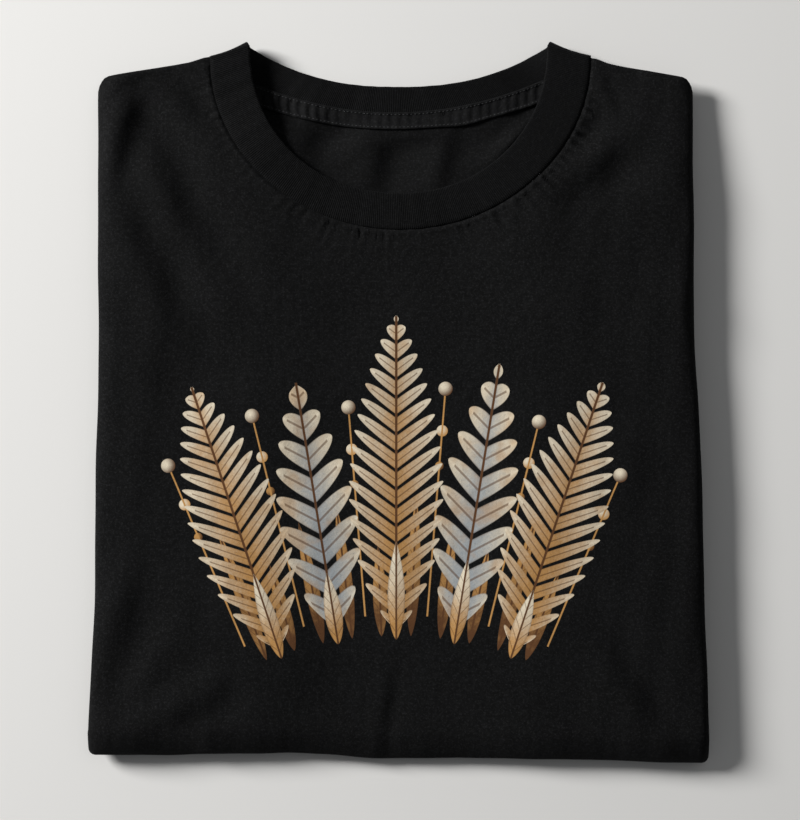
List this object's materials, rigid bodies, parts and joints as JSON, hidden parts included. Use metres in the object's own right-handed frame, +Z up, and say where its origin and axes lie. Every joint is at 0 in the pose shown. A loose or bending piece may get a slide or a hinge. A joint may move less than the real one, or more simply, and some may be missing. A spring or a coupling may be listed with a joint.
{
  "type": "folded crew-neck T-shirt",
  "caption": "Short-sleeved crew-neck T-shirt of washed black jersey, folded flat for a shelf and lying face up, with a leaf print on the chest.",
  "frame": {"origin": "on the table, under the middle of the folded shirt", "axes": "+Z up, +Y towards the collar, +X to the right seen from above"},
  "size_m": [0.354, 0.4107, 0.0186],
  "materials": {
    "jersey": "washed black cotton jersey, matte and faintly fuzzy",
    "rib": "black one-by-one rib knit, matte",
    "tape": "black cotton neck tape, matte",
    "thread": "black sewing thread with a slight sheen",
    "print": "soft water-based ink in cream and ochre, matte"
  },
  "bodies": {
    "root": {"back_bottom_fold": "jersey", "back_chest": "jersey", "back_hem": "jersey", "back_shoulder_left": "jersey", "back_shoulder_right": "jersey", "back_side_lower_left": "jersey", "back_side_lower_right": "jersey", "back_side_upper_left": "jersey", "back_side_upper_right": "jersey", "back_underside": "jersey", "back_yoke": "jersey", "collar_back": "rib", "collar_front": "rib", "front_bottom_fold": "jersey", "front_chest": "jersey", "front_hem": "jersey", "front_shoulder_left": "jersey", "front_shoulder_right": "jersey", "front_side_lower_left": "jersey", "front_side_lower_right": "jersey", "front_side_upper_left": "jersey", "front_side_upper_right": "jersey", "front_underside": "jersey", "neck_tape": "tape", "sleeve_hem_left": "jersey", "sleeve_hem_right": "jersey", "sleeve_left": "jersey", "sleeve_right": "jersey"}
  },
  "joints": []
}
